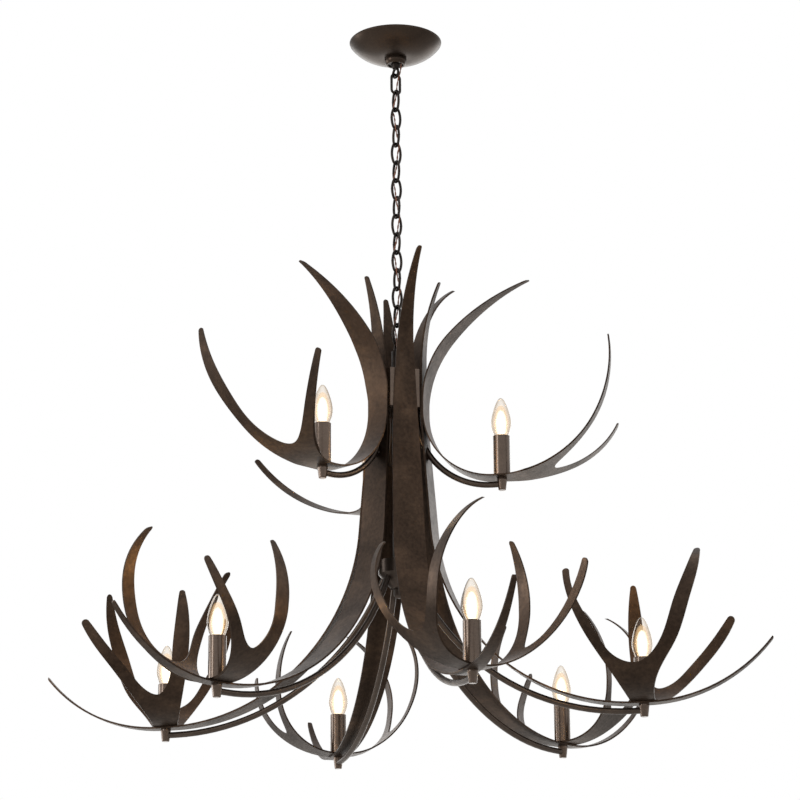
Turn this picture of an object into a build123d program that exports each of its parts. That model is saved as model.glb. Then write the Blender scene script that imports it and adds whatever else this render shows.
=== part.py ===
"""Two-tier antler chandelier on a chain: bent strip arms, forked antler plates and candle lamps.

Millimetres, +Z up. The origin is on the fixture's axis, in the ceiling plane that the strap and canopy meet.
"""

import os
from math import atan2, cos, pi, radians, sin, tan

from build123d import *

os.makedirs("parts", exist_ok=True)

# Clearances
running = 0.3
slip = 0.15

# Ceiling strap, nipple and canopy
strap_length = 110.0
strap_width = 20.0
strap_thickness = 2.5
strap_slot_spacing = 88.9
strap_slot_length = 14.0
strap_slot_width = 5.0
ground_screw_offset = 16.0
ground_screw_diameter = 4.0
ground_head_diameter = 8.0
ground_head_height = 2.6
nipple_diameter = 9.6
nipple_bore = 6.4
nipple_nut_across = 14.0
nipple_nut_height = 4.0
canopy_diameter = 158.0
canopy_depth = 31.0
canopy_wall = 1.2
canopy_flat_radius = 23.0
canopy_lip_height = 3.0
stem_diameter = 24.0
stem_inside = 12.0
stem_recess = 2.0
neck_diameter = 16.0
neck_foot_diameter = 11.0
neck_length = 9.0
collar_diameter = 38.0
collar_foot_diameter = 31.0
collar_height = 11.0
collar_shoulder = 3.5
collar_room = 1.2

# Loop rings and chain
ring_radius = 8.0
ring_wire = 4.5
link_wire = 4.5
link_width = 22.0
link_length = 42.0
link_end = 6.4
connector_length = 39.5
connector_width = 21.6
connector_corner = 7.0
link_count = 15
chain_turn = -43.0
body_stem_diameter = 20.0
body_stem_length = 26.5

# Supply cord, wound once round the chain in every four links
cord_diameter = 2.8
cord_at_stem = 6.9
cord_at_link = 2.5
cord_at_joint = 4.3
cord_fillet_share = 0.45

# Hubs and centre tube
hub_flat_radius = 43.5
hub_height = 66.0
hub_sink = 15.5
hub_bore = 12.0
hub_spigot = 12.0
centre_tube_diameter = 20.0
centre_tube_bore = 16.0
lower_hub_rise = 257.0
lower_hub_radius = 34.0
lower_hub_height = 22.0
lower_hub_cone = 24.0
lower_hub_foot = 14.0
bottom_nut_radius = 9.0
bottom_nut_height = 16.0

# Lower arms
arm_count = 6
lamp_ring = 400.0
arm_drop = 594.0
strip_thickness = 3.0
seat_half = 10.0
trunk_straight = 85.0
trunk_bend = 250.0
trunk_lean = 4.5
arm_tip_radius = 610.0
arm_tip_rise = 96.0
strip_half_width = 27.0
strip_half_tip = 4.2
taper_start = 70.0
trunk_wide_drop = 326.0
trunk_mid_drop = 56.0
trunk_mid_half = 19.0
close_top_radius = 74.0
close_top_rise = 143.0
open_top_radius = 140.0
open_top_rise = 168.0
arm_tube_diameter = 10.0
arm_tube_bore = 7.0
arm_tube_bend = 385.0
arm_tube_turn = 66.0

# Upper arms
upper_count = 3
upper_ring = 176.0
upper_drop = 206.0
upper_thickness = 2.5
upper_half_width = 22.0
upper_seat_half = 8.0
upper_half_tip = 4.2
upper_contact = 12.0
upper_back_bend = 172.0
upper_back_turn = 42.0
upper_tip_radius = 228.0
upper_tip_rise = 133.0
upper_taper_rise = -66.0
upper_mid_rise = 70.0
upper_mid_half = 18.5
fork_bend = 183.0
fork_turn = 5.0
fork_end = 112.0
upper_socket_radius = 33.0
upper_tube_bend = 128.0
tube_room = 0.8

# Antler plates
plate_thickness = 2.5
plate_flat = 8.0
plate_bend = 108.0
plate_neck = 19.0
outline_grid = 10.0
plate_turn = 10.25
plate_swing = 8.25
tall_bend_end = 73.5
tall_side = 4.5
tall_curl = 129.0
tall_curl_end = 160.0
short_bend_end = 87.0
short_side = 8.0
short_curl = 185.0
short_curl_end = 122.0

# Lamps
cup_top_diameter = 17.0
cup_bottom_diameter = 12.5
cup_height = 20.5
cup_rim = 3.0
cup_edge = 1.5
cup_tube_drop = 10.0
lamp_nipple_below = 14.0
lamp_nipple_above = 16.0
lamp_nut_across = 13.0
lamp_nut_height = 4.0
candle_diameter = 28.0
candle_wall = 0.9
candle_height = 68.0
candle_lift = 0.5
socket_diameter = 21.0
socket_rim_drop = 11.0
base_diameter = 11.7
base_length = 18.0
base_tip_diameter = 6.0
base_tip_height = 2.0
bulb_neck_drop = 9.0
bulb_neck_radius = 5.6
bulb_rim_radius = 10.6
bulb_belly_radius = 16.9
bulb_belly_rise = 22.5
bulb_shoulder_radius = 11.4
bulb_shoulder_rise = 49.0
bulb_rise = 66.5
bulb_tip_radius = 4.4
glass_wall = 0.9
stem_glass_radius = 3.0
stem_glass_rise = 8.0
filament_count = 4
filament_length = 24.0
filament_radius = 0.7
filament_circle = 2.2
filament_lean = 5.0

# Heights, all worked down from the ceiling
stem_bottom = -(canopy_depth + collar_height - stem_recess)
neck_bottom = stem_bottom - neck_length
upper_ring_z = neck_bottom - ring_radius
ring_to_link = ring_wire / 2 + link_wire / 2 + running
link_to_link = link_wire + running
connector_top = upper_ring_z - ring_radius + ring_to_link
connector_bottom = connector_top - (connector_length - link_wire)
link_pitch = link_length - link_wire - link_to_link
chain_bottom = connector_bottom - (link_count - 1) * link_pitch
body_ring_z = chain_bottom + ring_to_link - ring_radius
body_stem_top = body_ring_z - ring_radius
crown_z = body_stem_top - body_stem_length
hub_top = crown_z - hub_sink
hub_bottom = hub_top - hub_height
strip_radius = hub_flat_radius + strip_thickness / 2
lamp_z = crown_z - arm_drop
upper_z = crown_z - upper_drop
lower_hub_top = lamp_z + lower_hub_rise

link_turn = Plane(origin=(0, 0, 0), x_dir=(cos(radians(chain_turn)), sin(radians(chain_turn)), 0), z_dir=(0, 0, 1))
print("lamp height", round(lamp_z, 2), "upper lamp height", round(upper_z, 2), "hub top", round(hub_top, 2))


def save(part, name):
    """Labels a finished piece and writes its file."""
    part.label = name
    export_step(part, f"parts/{name}.step")


def turned(part, angle):
    """Gives a copy of a piece turned about the fixture's axis."""
    with BuildPart() as copy:
        add(part, rotation=(0, 0, angle))
    return copy.part


def around(part, angles):
    """Gives one node that holds a copy of a piece at each angle."""
    with BuildPart() as group:
        for angle in angles:
            add(part, rotation=(0, 0, angle))
    return group.part


# Ceiling strap and what hangs from it
with BuildPart() as mounting_strap:
    with BuildSketch():
        SlotOverall(strap_length, strap_width)
        with GridLocations(strap_slot_spacing, 0, 2, 1):
            SlotOverall(strap_slot_length, strap_slot_width, mode=Mode.SUBTRACT)
        Circle(nipple_diameter / 2 + slip, mode=Mode.SUBTRACT)
        with Locations((ground_screw_offset, 0)):
            Circle(ground_screw_diameter / 2 + slip, mode=Mode.SUBTRACT)
    extrude(amount=-strap_thickness)
save(mounting_strap.part, "mounting_strap")

with BuildPart() as ground_screw:
    with BuildSketch(Plane.XY.offset(-strap_thickness)):
        with Locations((ground_screw_offset, 0)):
            Circle(ground_head_diameter / 2)
    extrude(amount=-ground_head_height)
    fillet(ground_screw.edges().group_by(Axis.Z)[0], ground_head_height / 3)
    with BuildSketch(Plane.XY.offset(-strap_thickness)):
        with Locations((ground_screw_offset, 0)):
            Circle(ground_screw_diameter / 2)
    extrude(amount=strap_thickness)
save(ground_screw.part, "ground_screw")

stem_top = -canopy_depth + stem_inside
with BuildPart() as strap_nipple:
    with BuildSketch():
        Circle(nipple_diameter / 2)
        Circle(nipple_bore / 2, mode=Mode.SUBTRACT)
    extrude(amount=stem_bottom)
save(strap_nipple.part, "strap_nipple")

with BuildPart() as nipple_nut:
    with BuildSketch(Plane.XY.offset(-strap_thickness)):
        RegularPolygon(nipple_nut_across / 2, 6, major_radius=False)
        Circle(nipple_diameter / 2 + slip, mode=Mode.SUBTRACT)
    extrude(amount=-nipple_nut_height)
save(nipple_nut.part, "nipple_nut")

with BuildPart() as canopy:
    with BuildSketch(Plane.XZ):
        with BuildLine():
            rim = (canopy_diameter / 2, 0)
            lip = (canopy_diameter / 2, -canopy_lip_height)
            bottom = (canopy_flat_radius, -canopy_depth)
            Line((0, -canopy_depth), bottom)
            TangentArc(bottom, lip, tangent=(1, 0))
            Line(lip, rim)
            Line(rim, (0, 0))
            Line((0, 0), (0, -canopy_depth))
        make_face()
    revolve(axis=Axis.Z)
    top = canopy.faces().sort_by(Axis.Z)[-1]
    offset(amount=-canopy_wall, openings=top)
    with BuildSketch(Plane.XY.offset(-canopy_depth)):
        Circle(stem_diameter / 2 + running)
    extrude(amount=canopy_wall, mode=Mode.SUBTRACT)
save(canopy.part, "canopy")


def ring(centre_z):
    """Gives a loop's round ring, upright in the plane of the even links."""
    level = Plane(origin=(0, 0, centre_z), x_dir=link_turn.x_dir)
    with BuildPart() as loop:
        with BuildSketch(level):
            with Locations((ring_radius, 0)):
                Circle(ring_wire / 2)
        revolve(axis=Axis(level.origin, level.y_dir))
    return loop.part


with BuildPart() as canopy_loop:
    with BuildSketch(Plane.XY.offset(stem_top)):
        Circle(stem_diameter / 2)
    extrude(amount=stem_bottom - stem_top)
    with BuildSketch(Plane.XY.offset(stem_bottom)):
        Circle(neck_diameter / 2)
    with BuildSketch(Plane.XY.offset(neck_bottom)):
        Circle(neck_foot_diameter / 2)
    loft()
    add(ring(upper_ring_z))
    with BuildSketch(Plane.XY.offset(stem_top)):
        Circle(nipple_diameter / 2 + slip)
    extrude(amount=stem_bottom - stem_top, mode=Mode.SUBTRACT)
save(canopy_loop.part, "canopy_loop")

with BuildPart() as collar_nut:
    with BuildSketch(Plane.XZ):
        with BuildLine():
            inner = stem_diameter / 2 + collar_room
            outer = collar_diameter / 2
            foot = collar_foot_diameter / 2
            high = -canopy_depth
            low = high - collar_height
            Polyline((foot, low), (inner, low), (inner, high), (outer, high), (outer, high - collar_shoulder))
            TangentArc((outer, high - collar_shoulder), (foot, low), tangent=(0, -1))
        make_face()
    revolve(axis=Axis.Z)
save(collar_nut.part, "collar_nut")


# Chain
def wire(path):
    """Gives the wire of a link or loop along a closed path."""
    with BuildPart() as piece:
        with BuildSketch(Plane(origin=path @ 0, z_dir=path % 0)):
            Circle(link_wire / 2)
        sweep(path=path)
    return piece.part


def upright(top, bottom, side):
    """Gives the plane that an upright link lies in, about its middle."""
    return Plane(origin=(0, 0, (top + bottom) / 2), x_dir=side, z_dir=side.cross(Vector(0, 0, 1)))


def connector(top, bottom, side):
    """Gives the straight-sided first link between the heights of its end wires."""
    half = connector_width / 2 - link_wire / 2
    rise = (top - bottom) / 2
    with BuildLine(upright(top, bottom, side)) as path:
        corners = [(half, rise), (half, -rise), (-half, -rise), (-half, rise)]
        FilletPolyline(*corners, radius=connector_corner, close=True)
    return wire(path.wires()[0])


def oval(top, bottom, side):
    """Gives one oval link between the heights of its end wires: round ends and bowed sides."""
    half = link_width / 2 - link_wire / 2
    rise = (top - bottom) / 2
    end_z = rise - link_end
    flank = (half**2 + end_z**2 - link_end**2) / (2 * (half - link_end))
    lean = atan2(end_z, flank - half)
    meet = (link_end * cos(lean), end_z + link_end * sin(lean))
    with BuildLine(upright(top, bottom, side)) as path:
        ThreePointArc(meet, (0, rise), (-meet[0], meet[1]))
        ThreePointArc((-meet[0], meet[1]), (-half, 0), (-meet[0], -meet[1]))
        ThreePointArc((-meet[0], -meet[1]), (0, -rise), (meet[0], -meet[1]))
        ThreePointArc((meet[0], -meet[1]), (half, 0), meet)
    return wire(path.wires()[0])


save(connector(connector_top, connector_bottom, link_turn.y_dir), "chain_link_01")
for number in range(2, link_count + 1):
    link_bottom = connector_bottom - (number - 1) * link_pitch
    link_top = link_bottom + link_length - link_wire
    side = link_turn.y_dir if number % 2 else link_turn.x_dir
    save(oval(link_top, link_bottom, side), f"chain_link_{number:02d}")

# Supply cord: out of the canopy loop's stem, a quarter turn round the chain at each link, into the body loop's stem
joint_heights = [connector_top - ring_to_link / 2]
joint_heights += [connector_bottom - step * link_pitch + link_to_link / 2 for step in range(link_count)]
cord_points = [Vector(cord_at_stem, cord_at_stem, stem_bottom), Vector(cord_at_stem, cord_at_stem, neck_bottom)]
for number in range(link_count + 1):
    corner = radians(90 * number + 45)
    across = cord_at_joint / cos(radians(45))
    cord_points.append(Vector(across * cos(corner), across * sin(corner), joint_heights[number]))
    if number < link_count:
        quarter = radians(90 * number + 90)
        middle = (joint_heights[number] + joint_heights[number + 1]) / 2
        cord_points.append(Vector(cord_at_link * cos(quarter), cord_at_link * sin(quarter), middle))
cord_points.append(Vector(cord_points[-1].X, cord_points[-1].Y, body_stem_top))

cord_radii = []
for before, point, after in zip(cord_points, cord_points[1:], cord_points[2:]):
    turn = (point - before).get_angle(after - point)
    shorter = min((point - before).length, (after - point).length)
    cord_radii.append(cord_fillet_share * shorter / tan(radians(turn / 2)))
print("cord radii", round(min(cord_radii), 1), "to", round(max(cord_radii), 1))

with BuildPart() as supply_cord:
    with BuildLine(link_turn):
        cord_path = FilletPolyline(*[tuple(point) for point in cord_points], radius=cord_radii)
    with BuildSketch(Plane(origin=cord_path @ 0, z_dir=cord_path % 0)):
        Circle(cord_diameter / 2)
    sweep()
    section = pi * cord_diameter**2 / 4
    print("cord length", round(cord_path.length, 1), "from volume", round(supply_cord.part.volume / section, 1))
save(supply_cord.part, "supply_cord")

# Body loop, hubs and centre tube
with BuildPart() as body_loop:
    with BuildSketch(Plane.XY.offset(body_stem_top)):
        Circle(body_stem_diameter / 2)
    extrude(amount=hub_top - body_stem_top)
    add(ring(body_ring_z))
    with BuildSketch(Plane.XY.offset(hub_top)):
        Circle(hub_bore / 2 - slip)
    extrude(amount=-hub_spigot)
save(body_loop.part, "body_loop")

with BuildPart() as upper_hub:
    with BuildSketch(Plane.XY.offset(hub_top)):
        RegularPolygon(hub_flat_radius, arm_count, major_radius=False, rotation=180 / arm_count)
        Circle(hub_bore / 2, mode=Mode.SUBTRACT)
    extrude(amount=-hub_height)
save(upper_hub.part, "upper_hub")

with BuildPart() as centre_tube:
    with BuildSketch(Plane.XY.offset(hub_bottom)):
        Circle(centre_tube_diameter / 2)
        Circle(centre_tube_bore / 2, mode=Mode.SUBTRACT)
    extrude(amount=lower_hub_top - hub_bottom)
save(centre_tube.part, "centre_tube")

lower_hub_bottom = lower_hub_top - lower_hub_height - lower_hub_cone
with BuildPart() as lower_hub:
    with BuildSketch(Plane.XZ):
        with BuildLine():
            Polyline(
                (0, lower_hub_top),
                (lower_hub_radius, lower_hub_top),
                (lower_hub_radius, lower_hub_top - lower_hub_height),
                (lower_hub_foot, lower_hub_bottom),
                (0, lower_hub_bottom),
                close=True,
            )
        make_face()
    revolve(axis=Axis.Z)
save(lower_hub.part, "lower_hub")

with BuildPart() as bottom_nut:
    with BuildSketch(Plane.XY.offset(lower_hub_bottom)):
        Circle(bottom_nut_radius)
    extrude(amount=-bottom_nut_height)
    fillet(bottom_nut.edges().sort_by(Axis.Z)[0], bottom_nut_radius * 0.8)
save(bottom_nut.part, "bottom_nut")


# Lamp stacks, each made on the radius that its arm lies on
def arm_cup(radius, top):
    """Gives the tapered cup that an arm's tube runs into, below the strip."""
    with BuildPart() as cup:
        with BuildSketch(Plane.XZ):
            with BuildLine():
                rim = cup_top_diameter / 2
                foot = cup_bottom_diameter / 2
                Polyline(
                    (radius, top),
                    (radius + rim, top),
                    (radius + rim, top - cup_rim),
                    (radius + foot, top - cup_height),
                    (radius, top - cup_height),
                    close=True,
                )
            make_face()
        revolve(axis=Axis((radius, 0, 0), (0, 0, 1)))
        fillet(cup.edges().group_by(Axis.Z)[0], cup_edge)
        with BuildSketch(Plane.XY.offset(top)):
            with Locations((radius, 0)):
                Circle(nipple_diameter / 2 + slip)
        extrude(amount=-lamp_nipple_below, mode=Mode.SUBTRACT)
    return cup.part


def lamp_nipple(radius, cup_top, seat):
    """Gives the threaded rod from the cup through the sheets into the socket."""
    with BuildPart() as rod:
        with BuildSketch(Plane.XY.offset(cup_top - lamp_nipple_below)):
            with Locations((radius, 0)):
                Circle(nipple_diameter / 2)
                Circle(nipple_bore / 2, mode=Mode.SUBTRACT)
        extrude(amount=seat + lamp_nipple_above - cup_top + lamp_nipple_below)
    return rod.part


def lamp_nut(radius, seat):
    """Gives the nut that clamps the sheets onto the cup."""
    with BuildPart() as nut:
        with BuildSketch(Plane.XY.offset(seat)):
            with Locations((radius, 0)):
                RegularPolygon(lamp_nut_across / 2, 6, major_radius=False)
                Circle(nipple_diameter / 2 + slip, mode=Mode.SUBTRACT)
        extrude(amount=lamp_nut_height)
    return nut.part


def candle_cover(radius, seat):
    """Gives the candle tube over the socket."""
    with BuildPart() as cover:
        with BuildSketch(Plane.XY.offset(seat + candle_lift)):
            with Locations((radius, 0)):
                Circle(candle_diameter / 2)
                Circle(candle_diameter / 2 - candle_wall, mode=Mode.SUBTRACT)
        extrude(amount=candle_height)
    return cover.part


def lamp_socket(radius, seat):
    """Gives the candelabra socket that stands on the nut."""
    top = seat + candle_lift + candle_height - socket_rim_drop
    bottom = seat + lamp_nut_height
    base_end = seat + candle_lift + candle_height - bulb_neck_drop - base_length - base_tip_height
    with BuildPart() as socket:
        with BuildSketch(Plane.XY.offset(bottom)):
            with Locations((radius, 0)):
                Circle(socket_diameter / 2)
        extrude(amount=top - bottom)
        with BuildSketch(Plane.XY.offset(top)):
            with Locations((radius, 0)):
                Circle(base_diameter / 2 + running)
        extrude(amount=base_end - running - top, mode=Mode.SUBTRACT)
        with BuildSketch(Plane.XY.offset(bottom)):
            with Locations((radius, 0)):
                Circle(nipple_diameter / 2 + slip)
        extrude(amount=lamp_nipple_above - lamp_nut_height, mode=Mode.SUBTRACT)
    return socket.part


def envelope(neck, rim_z, inset):
    """Gives the bulb's flame-shaped envelope as a solid on the axis, drawn in by the inset."""
    with BuildPart() as flame:
        with BuildSketch(Plane.XZ):
            with BuildLine():
                tip_z = rim_z + bulb_rise - inset
                side = Spline(
                    (bulb_neck_radius - inset, neck),
                    (bulb_rim_radius - inset, rim_z),
                    (bulb_belly_radius - inset, rim_z + bulb_belly_rise),
                    (bulb_shoulder_radius - inset, rim_z + bulb_shoulder_rise),
                    (bulb_tip_radius, tip_z - bulb_tip_radius / 2),
                )
                TangentArc((0, tip_z), side @ 1, tangent=(1, 0))
                Polyline((0, tip_z), (0, neck), side @ 0)
            make_face()
        revolve(axis=Axis.Z)
    return flame.part


def bulb_parts(rim_z):
    """Gives a bulb on the axis as three solids: glass, screw base, and stem with filaments."""
    neck = rim_z - bulb_neck_drop
    with BuildPart() as glass:
        add(envelope(neck, rim_z, 0))
        add(envelope(neck, rim_z, glass_wall), mode=Mode.SUBTRACT)
    with BuildPart() as base:
        with BuildSketch(Plane.XY.offset(neck)):
            Circle(base_diameter / 2)
        extrude(amount=-base_length)
        with BuildSketch(Plane.XY.offset(neck - base_length)):
            Circle(base_tip_diameter / 2)
        extrude(amount=-base_tip_height)
    with BuildPart() as stem:
        with BuildSketch(Plane.XY.offset(neck)):
            Circle(stem_glass_radius)
        extrude(amount=stem_glass_rise)
        with PolarLocations(filament_circle, filament_count):
            with Locations(Location((0, 0, neck + stem_glass_rise - filament_radius), (0, filament_lean, 0))):
                Cylinder(filament_radius, filament_length, align=(Align.CENTER, Align.CENTER, Align.MIN))
    return [glass.part, base.part, stem.part]


# Arm strips
def arm_strip(top_radius, top_rise):
    """Gives one long bent strip at azimuth zero, from its top tip down the trunk and out under its lamp."""
    lean = radians(trunk_lean)
    trunk_top = Vector(strip_radius, crown_z)
    trunk_foot = Vector(strip_radius, crown_z - trunk_straight)
    bend_end = Vector(strip_radius + trunk_bend * (1 - cos(lean)), trunk_foot.Y - trunk_bend * sin(lean))
    reach = lamp_ring - seat_half - bend_end.X
    fall = bend_end.Y - lamp_z
    run = fall * cos(lean) / (1 - sin(lean)) - reach
    down = Vector(sin(lean), -cos(lean))
    run_end = bend_end + down * run
    seat_in = Vector(lamp_ring - seat_half, lamp_z)
    seat_out = Vector(lamp_ring + seat_half, lamp_z)
    tip_z = crown_z + top_rise
    with BuildPart() as strip:
        with BuildSketch(Plane.XZ):
            with BuildLine():
                TangentArc(trunk_top, (top_radius, tip_z), tangent=(0, 1))
                Line(trunk_top, trunk_foot)
                TangentArc(trunk_foot, bend_end, tangent=(0, -1))
                Line(bend_end, run_end)
                TangentArc(run_end, seat_in, tangent=down)
                Line(seat_in, seat_out)
                TangentArc(seat_out, (arm_tip_radius, lamp_z + arm_tip_rise), tangent=(1, 0))
            trace(line_width=strip_thickness)
        extrude(amount=strip_half_width + strip_thickness, both=True)
        with BuildSketch(Plane.XY.offset(lamp_z - strip_thickness)):
            with BuildLine():
                Polyline(
                    (arm_tip_radius - strip_half_tip, -strip_half_tip),
                    (taper_start, -strip_half_width),
                    (0, -strip_half_width),
                    (0, strip_half_width),
                    (taper_start, strip_half_width),
                    (arm_tip_radius - strip_half_tip, strip_half_tip),
                )
                ThreePointArc(
                    (arm_tip_radius - strip_half_tip, strip_half_tip),
                    (arm_tip_radius, 0),
                    (arm_tip_radius - strip_half_tip, -strip_half_tip),
                )
            make_face()
        extrude(amount=tip_z - lamp_z + 2 * strip_thickness, mode=Mode.INTERSECT)
        with BuildSketch(Plane.YZ):
            with BuildLine():
                wide = crown_z - trunk_wide_drop
                low = lamp_z - 2 * strip_thickness
                edge = ThreePointArc(
                    (strip_half_width, wide),
                    (trunk_mid_half, crown_z - trunk_mid_drop),
                    (strip_half_tip, tip_z - strip_half_tip),
                )
                ThreePointArc(edge @ 1, (0, tip_z), (-strip_half_tip, tip_z - strip_half_tip))
                mirror(edge, about=Plane.YZ)
                Polyline(
                    (strip_half_width, wide),
                    (strip_half_width, low),
                    (-strip_half_width, low),
                    (-strip_half_width, wide),
                )
            make_face()
        extrude(amount=arm_tip_radius + strip_half_tip, mode=Mode.INTERSECT)
        with Locations((lamp_ring, 0, lamp_z)):
            Hole(nipple_diameter / 2 + slip)
    return strip.part


def arm_tube():
    """Gives the path of a lower arm's tube at azimuth zero, from its cup to the lower hub."""
    turn = radians(arm_tube_turn)
    level = lamp_z - strip_thickness / 2 - cup_tube_drop
    stub = (lamp_ring - cup_top_diameter, level)
    rise = (stub[0] - arm_tube_bend * sin(turn), level + arm_tube_bend * (1 - cos(turn)))
    end = (rise[0] - lower_hub_cone * cos(turn), rise[1] + lower_hub_cone * sin(turn))
    with BuildLine(Plane.XZ) as path:
        Line((lamp_ring, level), stub)
        TangentArc(stub, rise, tangent=(-1, 0))
        Line(rise, end)
    return path.wires()[0]


def upper_tube():
    """Gives the path of an upper arm's tube at azimuth zero, from its cup into the upper hub's underside."""
    level = upper_z - upper_thickness / 2 - cup_tube_drop
    stub = (upper_socket_radius + upper_tube_bend, level)
    rise = (upper_socket_radius, level + upper_tube_bend)
    with BuildLine(Plane.XZ) as path:
        Line((upper_ring, level), stub)
        TangentArc(stub, rise, tangent=(-1, 0))
        Line(rise, (upper_socket_radius, hub_bottom))
    return path.wires()[0]


def pipe(path, outer, bore):
    """Gives a tube along a path, or a rod where the bore is zero."""
    with BuildPart() as tube:
        with BuildSketch(Plane(origin=path @ 0, z_dir=path % 0)):
            Circle(outer)
            if bore:
                Circle(bore, mode=Mode.SUBTRACT)
        sweep(path=path)
    return tube.part


# Upper strips
fork_edges = [
    [(-3.3, 0.4), (-5.8, 5.6), (-7.9, 11.1), (-9.4, 17.0), (-9.9, 20.2)],
    [(-9.1, 20.5), (-6.9, 14.5), (-4.8, 8.7), (-3.0, 4.2), (0.4, 1.7), (3.9, 2.4), (8.7, 5.8), (12.5, 10.0), (14.2, 12.3)],
    [(15.2, 12.0), (12.2, 7.6), (8.2, 3.5), (4.0, 0.6)],
]
fork_flare = [(1.0, 2.3), (4.6, 3.6), (11.0, 9.0), (17.2, 16.4), (24.0, 24.0)]


def outline(edges, start):
    """Draws a forked outline: edges on a grid, joined by round tips, between a start point and its mirror image."""
    scaled = [[(across * outline_grid, up * outline_grid) for across, up in edge] for edge in edges]
    scaled[0].insert(0, start)
    scaled[-1].append((-start[0], start[1]))
    with BuildLine(mode=Mode.PRIVATE) as drawn:
        splines = [Spline(*points) for points in scaled]
        for first, second in zip(splines, splines[1:]):
            TangentArc(first @ 1, second @ 0, tangent=first % 1)
        Line(splines[-1] @ 1, splines[0] @ 0)
    return drawn.edges()


def upper_strip():
    """Gives one upper strip at azimuth zero: a C from its top tip to under its lamp, then a rolled fork."""
    contact = strip_radius + strip_thickness / 2 + upper_thickness / 2
    seat_in = Vector(upper_ring - upper_seat_half, upper_z)
    inner_bend = seat_in.X - contact
    touch_low = Vector(contact, upper_z + inner_bend)
    touch_high = touch_low + Vector(0, upper_contact)
    back_turn = radians(upper_back_turn)
    back = touch_high + Vector(1 - cos(back_turn), sin(back_turn)) * upper_back_bend
    tip = Vector(upper_tip_radius, crown_z + upper_tip_rise)
    low = upper_z - upper_thickness
    with BuildPart() as strip:
        with BuildSketch(Plane.XZ):
            with BuildLine():
                Line((upper_ring + upper_seat_half / 2, upper_z), seat_in)
                TangentArc(seat_in, touch_low, tangent=(-1, 0))
                Line(touch_low, touch_high)
                TangentArc(touch_high, back, tangent=(0, 1))
                TangentArc(back, tip, tangent=(sin(back_turn), cos(back_turn)))
            trace(line_width=upper_thickness)
        extrude(amount=upper_half_width + upper_thickness, both=True)
        with BuildSketch(Plane.YZ):
            with BuildLine():
                wide = crown_z + upper_taper_rise
                edge = ThreePointArc(
                    (upper_half_width, wide),
                    (upper_mid_half, crown_z + upper_mid_rise),
                    (upper_half_tip, tip.Y - upper_half_tip),
                )
                ThreePointArc(edge @ 1, (0, tip.Y), (-upper_half_tip, tip.Y - upper_half_tip))
                mirror(edge, about=Plane.YZ)
                Polyline(
                    (upper_half_width, wide),
                    (upper_half_width, low),
                    (-upper_half_width, low),
                    (-upper_half_width, wide),
                )
            make_face()
        extrude(amount=upper_tip_radius + upper_half_tip, mode=Mode.INTERSECT)
        add(fork())
        with Locations((upper_ring, 0, upper_z + upper_thickness)):
            Hole(nipple_diameter / 2 + slip, depth=2 * upper_thickness)
    return strip.part


def fork():
    """Gives the upper strip's outer end, a rolled sheet cut to a fork, in place at azimuth zero."""
    turn = radians(fork_end)
    lamp = Plane(origin=(upper_ring, 0, upper_z), x_dir=(cos(radians(fork_turn)), sin(radians(fork_turn)), 0))
    side = Plane(origin=lamp.origin, x_dir=lamp.x_dir, z_dir=-lamp.y_dir)
    front = Plane(origin=lamp.origin, x_dir=lamp.y_dir, z_dir=lamp.x_dir)
    with BuildPart() as sheet:
        with BuildSketch(side):
            with BuildLine():
                Line((-upper_seat_half / 2, 0), (upper_seat_half, 0))
                end = (upper_seat_half + fork_bend * sin(turn), fork_bend * (1 - cos(turn)))
                TangentArc((upper_seat_half, 0), end, tangent=(1, 0))
            trace(line_width=upper_thickness)
        extrude(amount=fork_bend, both=True)
        with BuildSketch(front):
            make_face(outline(fork_edges, (-upper_half_width, -2 * upper_thickness)))
        extrude(amount=2 * fork_bend, both=True, mode=Mode.INTERSECT)
        with BuildSketch(lamp):
            with BuildLine():
                root = (-upper_seat_half / 2, upper_half_width)
                flare = Spline(root, *[(out * outline_grid, half * outline_grid) for out, half in fork_flare])
                mirror(flare, about=Plane.XZ)
                Line(flare @ 0, (root[0], -root[1]))
                Line(flare @ 1, ((flare @ 1).X, -(flare @ 1).Y))
            make_face()
        extrude(amount=2 * fork_bend, both=True, mode=Mode.INTERSECT)
    return sheet.part


# Antler plates
tall_edges = [
    [(3.6, 3.2), (6.6, 7.3), (9.0, 13.5), (10.5, 20.5), (10.4, 22.9)],
    [(9.4, 22.9), (8.6, 19.6), (6.4, 13.2), (3.9, 7.1), (0.4, 4.5), (-3.5, 5.8), (-5.9, 9.4), (-8.7, 14.7), (-10.1, 19.8)],
    [(-11.2, 19.7), (-9.7, 13.8), (-7.3, 8.6), (-4.5, 4.1)],
]
short_edges = [
    [(6.0, 4.1), (8.9, 7.6), (11.1, 10.3), (13.8, 14.6)],
    [(12.7, 15.3), (9.8, 11.5), (5.7, 6.7), (2.9, 4.1), (1.2, 3.7), (-0.3, 5.5), (-0.9, 10.0), (-1.4, 16.0), (-1.9, 20.6)],
    [(-2.9, 20.5), (-3.6, 16.0), (-3.7, 13.0), (-3.3, 7.5)],
]


def plate_half(profile, edges):
    """Gives half of an antler plate: a sheet bent to a profile, cut to a fork seen from the side."""
    with BuildPart() as sheet:
        with BuildSketch(Plane.YZ):
            trace(profile, line_width=plate_thickness)
        extrude(amount=lamp_ring / 2, both=True)
        with BuildSketch(Plane.XZ):
            make_face(outline(edges, (plate_neck, -plate_thickness)))
        extrude(amount=lamp_ring / 2, both=True, mode=Mode.INTERSECT)
    return sheet.part


def along(angle, radius_of_bend):
    """Gives how far out and up an arc of a bend goes from level to an angle."""
    return Vector(sin(radians(angle)), 1 - cos(radians(angle))) * radius_of_bend


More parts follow.
